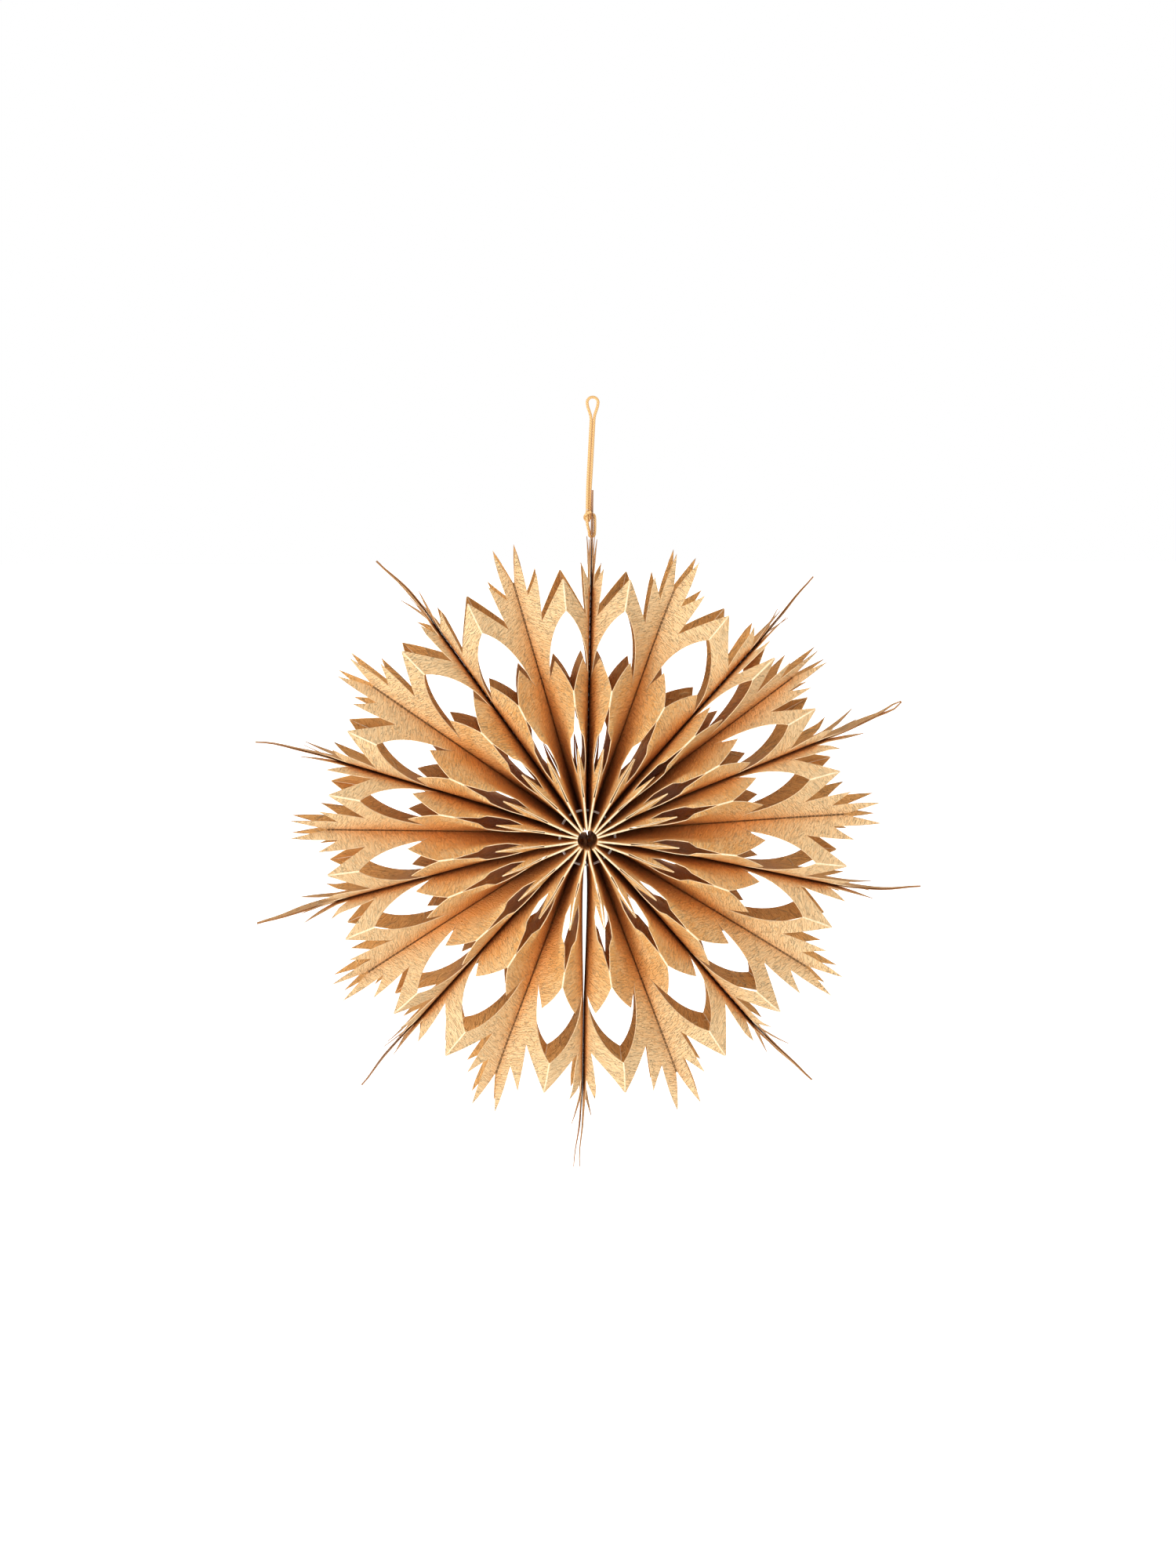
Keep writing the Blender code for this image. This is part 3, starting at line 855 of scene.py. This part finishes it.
def make_cord(mat):
    """The doubled cord with its eye, its hitch through the top spine and its turn round both."""
    front = [strand_place(z, 1) for z in strand_heights(0)]
    rear = [strand_place(z, -1) for z in reversed(strand_heights(REAR_TUCK))]
    eye = CORD_DIAMETER / 2 - EYE_RADIUS
    turns = [math.pi * (1 - i / EYE_STEPS) for i in range(1, EYE_STEPS)]
    top = [Vector((EYE_RADIUS * math.cos(t), 0, eye + EYE_RADIUS * math.sin(t))) for t in turns]
    path = front + top + rear
    cord = cord_curve("doubled_cord", path, mat)
    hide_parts("hanging_cord")

    rise = CORD_DIAMETER / 2
    hole = -LOOP_TO_HUB + HOLE_HEIGHT
    ahead = STRAND_SPACING / 2 * math.sin(math.radians(LOW_TURN))
    beside = BESIDE_BLADE + STRAND_SPACING * math.cos(math.radians(LOW_TURN))
    close = BESIDE_BLADE
    places = [
        (-beside, -ahead, HITCH_HEIGHT),
        (-beside, -ahead, HITCH_HEIGHT / 2),
        (-close, -ahead / 3, rise * 3.2),
        (-close, 0, 0),
        (close, 0, 0),
        (close * 1.3, 0, rise * 3.2),
        (close * 1.2, ahead * 0.3, BAND_HEIGHT - CORD_DIAMETER),
        (close * 0.9, ahead * 1.5, BAND_HEIGHT + CORD_DIAMETER / 3),
        (0, ahead * 3, BAND_HEIGHT + CORD_DIAMETER / 3),
    ]
    route = smooth_route([on_blade(x, y, hole + z) for x, y, z in places], 3)
    hitch = cord_curve("hitch_loop", route, mat)
    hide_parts("cord_hitch")

    ring = []
    for i in range(BAND_STEPS + 1):
        turn = math.radians(BAND_START + (BAND_END - BAND_START) * i / BAND_STEPS)
        x = BAND_WIDE * math.cos(turn) - BAND_ASIDE
        y = -BAND_DEEP * math.sin(turn)
        height = BAND_HEIGHT + BAND_SLOPE * x - BAND_PITCH * y
        ring.append(on_blade(x, y, hole + height))
    band = cord_curve("hitch_band", ring, mat)
    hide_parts("cord_band")


def node_group(name, numbers, outputs, placed=True):
    """A shader group that a place and some numbers go into, and some numbers come out of."""
    group = bpy.data.node_groups.new(name, "ShaderNodeTree")
    if placed:
        group.interface.new_socket("Vector", in_out="INPUT", socket_type="NodeSocketVector")
    for label, value in numbers.items():
        item = group.interface.new_socket(label, in_out="INPUT", socket_type="NodeSocketFloat")
        item.default_value = value
    for label in outputs:
        group.interface.new_socket(label, in_out="OUTPUT", socket_type="NodeSocketFloat")
    return group, group.nodes.new("NodeGroupInput"), group.nodes.new("NodeGroupOutput")


def add_node(tree, kind, **settings):
    """A node, with its settings, its inputs by name or number under inputs, and links."""
    inputs = settings.pop("inputs", {})
    node = tree.nodes.new(kind)
    for key, value in settings.items():
        setattr(node, key, value)
    for key, value in inputs.items():
        if isinstance(value, bpy.types.NodeSocket):
            tree.links.new(value, node.inputs[key])
        else:
            node.inputs[key].default_value = value
    return node


def maths(tree, operation, a, b=0.0, clamp=False):
    node = add_node(
        tree, "ShaderNodeMath", operation=operation, use_clamp=clamp, inputs={0: a, 1: b}
    )
    return node.outputs[0]


def spread_range(tree, value, low, high, out_low=0.0, out_high=1.0):
    """value mapped smoothly from one range to another."""
    node = add_node(
        tree,
        "ShaderNodeMapRange",
        interpolation_type="SMOOTHSTEP",
        inputs={0: value, 1: low, 2: high, 3: out_low, 4: out_high},
    )
    return node.outputs[0]


def mixed(tree, factor, a, b):
    """Colour a, turned to colour b by a factor."""
    a, b = ((*c, 1) if isinstance(c, tuple) else c for c in (a, b))
    node = add_node(tree, "ShaderNodeMix", data_type="RGBA", inputs={0: factor, 6: a, 7: b})
    return node.outputs[2]


def noise_texture(tree, place, scale, detail=2.0, roughness=0.5, warp=0.0):
    inputs = {"Vector": place, "Scale": scale, "Detail": detail}
    inputs |= {"Roughness": roughness, "Distortion": warp}
    return add_node(tree, "ShaderNodeTexNoise", inputs=inputs).outputs[0]


def stretched(tree, place, scale):
    """A place whose second coordinate is scaled."""
    inputs = {"Vector": place, "Scale": (1.0, scale, 1.0)}
    return add_node(tree, "ShaderNodeMapping", inputs=inputs).outputs[0]


def twist_texture(tree, scale, distortion, detail=2.0):
    """The object's own place, and the slanting waves of a twisted thread there."""
    place = add_node(tree, "ShaderNodeTexCoord").outputs["Object"]
    node = add_node(
        tree,
        "ShaderNodeTexWave",
        bands_direction="DIAGONAL",
        inputs={"Vector": place, "Scale": scale, "Distortion": distortion, "Detail": detail},
    )
    return place, node.outputs[1]


def fading(tree, off, width):
    """1 on a line, fading to 0 at a width from it, for a distance off the line."""
    return maths(tree, "SUBTRACT", 1.0, maths(tree, "DIVIDE", off, width), clamp=True)


def finish_surface(tree, shader, colour, rough):
    tree.links.new(colour, shader.inputs["Base Color"])
    tree.links.new(rough, shader.inputs["Roughness"])


def add_bump(tree, shader, height, strength, distance):
    inputs = {"Strength": strength, "Distance": distance, "Height": height}
    bumped = add_node(tree, "ShaderNodeBump", inputs=inputs)
    tree.links.new(bumped.outputs[0], shader.inputs["Normal"])


def crinkle_group():
    """The fine crinkled grain of the card: short wavy hair lines that run across the sheet."""
    labels = ("Ridges", "Hairs", "Clouds")
    group, given, result = node_group("card crinkle", {"Turn": 0.0}, labels)
    turned = add_node(
        group,
        "ShaderNodeVectorRotate",
        rotation_type="Z_AXIS",
        inputs={"Vector": given.outputs["Vector"], "Angle": given.outputs["Turn"]},
    )
    across = stretched(group, turned.outputs[0], 4.6)
    fine = noise_texture(group, across, 30.0, 3.0, 0.6, 0.8)
    broad = noise_texture(group, across, 13.0, 3.0, 0.6, 0.8)
    ridges = maths(group, "MULTIPLY", fine, 0.6)
    ridges = maths(group, "ADD", ridges, maths(group, "MULTIPLY", broad, 0.4))
    waves = noise_texture(group, across, 15.0, warp=0.5)
    off = maths(group, "ABSOLUTE", maths(group, "SUBTRACT", waves, 0.5))
    clouds = noise_texture(group, given.outputs["Vector"], 5.0)
    group.links.new(ridges, result.inputs["Ridges"])
    group.links.new(fading(group, off, HAIR_WIDTH), result.inputs["Hairs"])
    group.links.new(clouds, result.inputs["Clouds"])
    return group


def vein_group():
    """The long fine cracks on the card's inner side."""
    group, given, result = node_group("card veins", {"Width": 0.03}, ("Veins",))
    bend = add_node(
        group, "ShaderNodeTexNoise", inputs={"Vector": given.outputs["Vector"], "Scale": 3.0}
    )
    pushed = add_node(
        group,
        "ShaderNodeVectorMath",
        operation="MULTIPLY_ADD",
        inputs={0: bend.outputs["Color"], 1: (0.25, 0.25, 0.0), 2: given.outputs["Vector"]},
    )
    cells = add_node(
        group,
        "ShaderNodeTexVoronoi",
        voronoi_dimensions="2D",
        feature="DISTANCE_TO_EDGE",
        inputs={"Vector": stretched(group, pushed.outputs[0], 0.30), "Scale": 9.0},
    )
    line = fading(group, cells.outputs[0], given.outputs["Width"])
    breaks = noise_texture(group, given.outputs["Vector"], 12.0, 1.0)
    shown = spread_range(group, breaks, 0.38, 0.58)
    group.links.new(maths(group, "MULTIPLY", line, shown), result.inputs["Veins"])
    return group


def crease_group():
    """The perforated crease: a thin line of dots where the leaf folds, a wider band along it for
    painted shade, and the spines' outer ends for their partly painted shade.
    """
    group, given, result = node_group(
        "perforated crease", {"Width": 0.004, "Pitch": 0.012}, ("Line", "Shade", "Spike")
    )
    apart = add_node(group, "ShaderNodeSeparateXYZ", inputs={0: given.outputs["Vector"]})
    off = maths(group, "SUBTRACT", apart.outputs[0], CREASE * 10)
    off = maths(group, "ABSOLUTE", off)
    line = fading(group, off, given.outputs["Width"])
    along = maths(group, "DIVIDE", apart.outputs[1], given.outputs["Pitch"])
    dots = maths(group, "PINGPONG", along, 1.0)
    dots = spread_range(group, dots, 0.15, 0.6, 0.35, 1.0)
    group.links.new(maths(group, "MULTIPLY", line, dots), result.inputs["Line"])
    group.links.new(fading(group, off, SHADE_WIDTH), result.inputs["Shade"])
    past = spread_range(group, apart.outputs[1], *SPIKE_TONES)
    on_wall = maths(group, "LESS_THAN", apart.outputs[0], 0.0)
    group.links.new(maths(group, "MULTIPLY", past, on_wall), result.inputs["Spike"])
    return group


def fold_shade_group():
    """How closed in a place is by the sheets round it, for the painted shade: low in a fold, and
    lowest in a slot.
    """
    group, given, result = node_group(
        "painted shade in the folds", {"Reach": 0.03}, ("Fold", "Slot"), placed=False
    )
    inputs = {"Distance": given.outputs["Reach"]}
    around = add_node(group, "ShaderNodeAmbientOcclusion", samples=6, inputs=inputs)
    for label, tones in (("Fold", FOLD_SHADE_TONES), ("Slot", SLOT_SHADE_TONES)):
        mask = spread_range(group, around.outputs["AO"], *tones)
        group.links.new(mask, result.inputs[label])
    return group


def principled(name):
    """A new material with its tree and its Principled shader."""
    mat = bpy.data.materials.new(name)
    mat.use_nodes = True
    return mat, mat.node_tree, mat.node_tree.nodes["Principled BSDF"]


def with_painted_fold_shade(tree, depth, colour, fold_shade_colour):
    """A colour with painted shade: it turns to the shade colour in the folds and to the slots'
    shade brown at their very bottom.
    """
    node = add_node(tree, "ShaderNodeGroup", node_tree=depth)
    colour = mixed(tree, node.outputs["Fold"], fold_shade_colour, colour)
    return mixed(tree, node.outputs["Slot"], SLOT_SHADE_BROWN, colour)


def sheet_place(tree, uv_map):
    """A place on a sheet laid flat, in decimetres."""
    return add_node(tree, "ShaderNodeUVMap", uv_map=uv_map).outputs[0]


def how_far_out(tree):
    """How far out a place on a sheet laid flat is, in decimetres."""
    apart = add_node(tree, "ShaderNodeSeparateXYZ", inputs={0: sheet_place(tree, "flat")})
    return apart.outputs[1]


def sheet_group(tree, group, uv_map, **numbers):
    """A shader group at the places of a sheet laid flat."""
    inputs = {"Vector": sheet_place(tree, uv_map), **numbers}
    return add_node(tree, "ShaderNodeGroup", node_tree=group, inputs=inputs)


def card_material(name, light, dark, outer_painted_light, fold_shade_colour, groups, turn, veins=0.0, vein_colour=None):
    """Card in two tones of one colour, with painted light towards its outer end, painted shade in
    its folds, along its crease and in its grain's hollows, partly painted highlight on its hair
    lines and partly painted shade on the spines' tips, with its grain, its veins and its
    perforated crease."""
    crinkle, vein, crease, depth = groups
    mat, tree, shader = principled(name)
    grain = sheet_group(tree, crinkle, "grain", Turn=turn)
    line = sheet_group(tree, crease, "flat")
    tone = maths(tree, "MULTIPLY", grain.outputs["Ridges"], 0.6)
    tone = maths(tree, "ADD", tone, maths(tree, "MULTIPLY", grain.outputs["Clouds"], 0.4))
    tone = spread_range(tree, tone, *GRAIN_TONES)
    colour = mixed(tree, tone, dark, light)
    # painted light: paler towards the outer end, where the sheets open out
    far = spread_range(tree, how_far_out(tree), *OUTER_LIGHT_FROM, 0.0, 0.75)
    colour = mixed(tree, far, colour, outer_painted_light)
    # painted shade: darker where the grain's ridges are low, in the crinkle's hollows
    hollow_shade = spread_range(tree, grain.outputs["Ridges"], 0.38, 0.52, 0.4, 0.0)
    colour = mixed(tree, hollow_shade, colour, dark)
    # the hair lines paler: partly the card's grain, partly painted highlight on these raised lines
    hair_grain_and_highlight = maths(tree, "MULTIPLY", grain.outputs["Hairs"], 0.5)
    colour = mixed(tree, hair_grain_and_highlight, colour, tuple(min(1.2 * c + 0.04, 0.97) for c in outer_painted_light))
    # the spines' tips browner: partly painted shade of the gap between their two sheets
    colour = mixed(tree, line.outputs["Spike"], colour, TIP_SHADE_BROWN)
    raised = maths(tree, "MULTIPLY", grain.outputs["Hairs"], 0.5)
    height = maths(tree, "ADD", grain.outputs["Ridges"], raised)
    if veins:
        cracks = sheet_group(tree, vein, "grain").outputs[0]
        colour = mixed(tree, maths(tree, "MULTIPLY", cracks, veins), colour, vein_colour)
        height = maths(tree, "ADD", height, maths(tree, "MULTIPLY", cracks, 0.5))
    # painted shade: a brown band along the crease, where the leaf folds in
    crease_shade = maths(tree, "MULTIPLY", line.outputs["Shade"], 0.35)
    colour = mixed(tree, crease_shade, colour, CREASE_SHADE_BROWN)
    dotted = maths(tree, "MULTIPLY", line.outputs["Line"], 0.6)
    colour = mixed(tree, dotted, colour, DOT_BROWN)
    # painted shade in the folds, and a browner painted shade at the bottom of the slots
    colour = with_painted_fold_shade(tree, depth, colour, fold_shade_colour)
    height = maths(tree, "SUBTRACT", height, line.outputs["Line"])
    rough = spread_range(tree, grain.outputs["Ridges"], 0.3, 0.7, 0.60, 0.80)
    finish_surface(tree, shader, colour, rough)
    add_bump(tree, shader, height, 1.0, 0.0016)
    shader.inputs["Specular IOR Level"].default_value = 0.25
    return mat


def edge_material(name, colour, dirt, fold_shade_colour, depth):
    """The card's cut edges and rubbed folds, pale partly as painted highlight, browner along the
    spines' tips partly as painted shade, and with painted shade in the folds.
    """
    mat, tree, shader = principled(name)
    place = add_node(tree, "ShaderNodeTexCoord")
    speckle = noise_texture(tree, place.outputs["Object"], 900.0)
    tone = spread_range(tree, speckle, 0.35, 0.65)
    # browner towards the spines' tips: partly painted shade of the gap between their two sheets
    past = spread_range(tree, how_far_out(tree), *EDGE_TONES)
    toned = mixed(tree, past, mixed(tree, tone, dirt, colour), TIP_EDGE_SHADE)
    rough = spread_range(tree, speckle, 0.3, 0.7, 0.7, 0.88)
    finish_surface(tree, shader, with_painted_fold_shade(tree, depth, toned, fold_shade_colour), rough)
    return mat


def thread_material():
    """White nylon thread with a fine twist."""
    mat, tree, shader = principled("white nylon")
    _, twist = twist_texture(tree, 700.0, 0.6)
    tone = mixed(tree, twist, (0.70, 0.68, 0.64), (0.92, 0.91, 0.88))
    finish_surface(tree, shader, tone, spread_range(tree, twist, 0.0, 1.0, 0.28, 0.42))
    return mat


def cord_material():
    """Tan waxed cord with a tight twist."""
    mat, tree, shader = principled("tan waxed cord")
    place, twist = twist_texture(tree, 420.0, 1.2, 1.0)
    fuzz = noise_texture(tree, place, 2200.0)
    faint = maths(tree, "MULTIPLY", fuzz, 0.4)
    tone = mixed(tree, twist, (0.56, 0.28, 0.08), (0.86, 0.55, 0.22))
    tone = mixed(tree, faint, tone, (0.92, 0.66, 0.34))
    finish_surface(tree, shader, tone, spread_range(tree, fuzz, 0.3, 0.7, 0.5, 0.72))
    add_bump(tree, shader, maths(tree, "ADD", twist, faint), 0.6, 0.00015)
    return mat


def card_materials():
    """The card's outer side, its inner side, darker partly as painted shade, its cut edges and its
    rubbed folds, the edges and folds pale partly as painted highlight.
    """
    # depth is the group that paints shade in the folds and slots
    depth = fold_shade_group()
    groups = (crinkle_group(), vein_group(), crease_group(), depth)
    # the fourth colour of each card is its painted shade in the folds, a saturated orange as if
    # warmed by light bounced between the sheets
    outer = card_material(
        "tan card outside",
        (0.94, 0.60, 0.27),
        (0.87, 0.45, 0.145),
        (0.95, 0.70, 0.41),
        (0.95, 0.40, 0.095),
        groups,
        turn=0.35,
    )
    # the inner side, darker than the outer: partly the card's other side, partly painted shade
    inner = card_material(
        "brown card inside with painted shade",
        (0.78, 0.38, 0.115),
        (0.66, 0.28, 0.070),
        (0.82, 0.44, 0.150),
        (0.88, 0.35, 0.085),
        groups,
        turn=1.1,
        veins=0.6,
        vein_colour=(0.90, 0.62, 0.32),
    )
    # the painted shade of the folds for the cut edges and the rubbed folds
    fold_shade_colour = (0.90, 0.45, 0.14)
    # the edges and folds are pale partly from rubbing and partly as painted highlight
    edge = edge_material("pale cut edge with painted highlight", (0.95, 0.76, 0.50), (0.88, 0.60, 0.32), fold_shade_colour, depth)
    fold = edge_material("rubbed fold with painted highlight", (0.97, 0.82, 0.58), (0.92, 0.68, 0.40), fold_shade_colour, depth)
    return [outer, inner, edge, fold]


def seen_directly(tree):
    """1 where the camera or a reflection looks, and 0 for the light that falls on things."""
    path = add_node(tree, "ShaderNodeLightPath")
    seen = maths(tree, "MAXIMUM", path.outputs["Is Camera Ray"], path.outputs["Is Glossy Ray"])
    return maths(tree, "MAXIMUM", seen, path.outputs["Is Transmission Ray"])


def make_world():
    """A white background that lights the ornament softly from all round."""
    world = bpy.data.worlds.new("white studio")
    bpy.context.scene.world = world
    world.use_nodes = True
    tree = world.node_tree
    tree.nodes.clear()
    soft = add_node(
        tree,
        "ShaderNodeBackground",
        inputs={"Color": (1.0, 0.97, 0.93, 1), "Strength": 0.97},
    )
    white = add_node(
        tree, "ShaderNodeBackground", inputs={"Color": (1, 1, 1, 1), "Strength": 1.0}
    )
    mix = add_node(tree, "ShaderNodeMixShader", inputs={0: seen_directly(tree)})
    tree.links.new(soft.outputs[0], mix.inputs[1])
    tree.links.new(white.outputs[0], mix.inputs[2])
    out = add_node(tree, "ShaderNodeOutputWorld")
    tree.links.new(mix.outputs[0], out.inputs[0])


def make_floor():
    """A plain pale floor well below the hanging ornament."""
    size = 12.0
    mesh = bpy.data.meshes.new("floor")
    z = HUB_CENTRE.z - FLOOR_BELOW_HUB
    corners = [(-size, -size, z), (size, -size, z), (size, size, z), (-size, size, z)]
    mesh.from_pydata(corners, [], [(0, 1, 2, 3)])
    floor = add_object("floor", mesh)
    mat, tree, shader = principled("pale floor")
    shader.inputs["Base Color"].default_value = (0.86, 0.86, 0.86, 1)
    shader.inputs["Roughness"].default_value = 0.9
    glow = add_node(tree, "ShaderNodeEmission", inputs={"Strength": 1.0})
    lit = add_node(tree, "ShaderNodeAddShader")
    tree.links.new(shader.outputs[0], lit.inputs[0])
    tree.links.new(glow.outputs[0], lit.inputs[1])
    mix = add_node(tree, "ShaderNodeMixShader", inputs={0: seen_directly(tree)})
    tree.links.new(shader.outputs[0], mix.inputs[1])
    tree.links.new(lit.outputs[0], mix.inputs[2])
    tree.links.new(mix.outputs[0], tree.nodes["Material Output"].inputs[0])
    mesh.materials.append(mat)


def make_lamp(name, place, size, power, colour):
    """A soft square lamp that faces the hub."""
    data = bpy.data.lights.new(name, "AREA")
    data.shape = "SQUARE"
    data.size = size
    data.energy = power
    data.color = colour
    lamp = add_object(name, data)
    lamp.location = HUB_CENTRE + Vector(place)
    lamp.rotation_euler = (-Vector(place)).to_track_quat("-Z", "Y").to_euler()


def make_lamps():
    make_lamp("key", (-1.5, -1.7, -0.4), 0.8, 26, (1.0, 0.98, 0.95))
    make_lamp("fill", (1.2, -2.0, 1.2), 1.4, 4, (1.0, 0.98, 0.96))


def make_camera():
    """The camera at the photograph's angle, framed so that the picture is FRAME_HEIGHT tall."""
    data = bpy.data.cameras.new("camera")
    data.sensor_fit = "VERTICAL"
    data.sensor_height = 36
    data.lens = data.sensor_height * CAMERA_DISTANCE / FRAME_HEIGHT
    data.clip_end = 60
    camera = add_object("camera", data)
    azimuth, elevation = math.radians(CAMERA_AZIMUTH), math.radians(CAMERA_ELEVATION)
    aim = HUB_CENTRE + Vector((AIM_BESIDE_HUB, 0, AIM_ABOVE_HUB))
    back = Vector(
        (
            math.sin(azimuth) * math.cos(elevation),
            -math.cos(azimuth) * math.cos(elevation),
            math.sin(elevation),
        )
    )
    camera.location = aim + back * CAMERA_DISTANCE
    camera.rotation_euler = (-back).to_track_quat("-Z", "Y").to_euler()
    bpy.context.scene.camera = camera


def main():
    bpy.context.scene.view_settings.view_transform = "Standard"
    make_camera()
    make_cord(cord_material())
    make_world()
    make_floor()
    make_lamps()
    card = card_materials()
    thread = thread_material()
    make_walls(card)
    make_leaves(card)
    make_ties(thread)
    make_stitches(thread)


main()
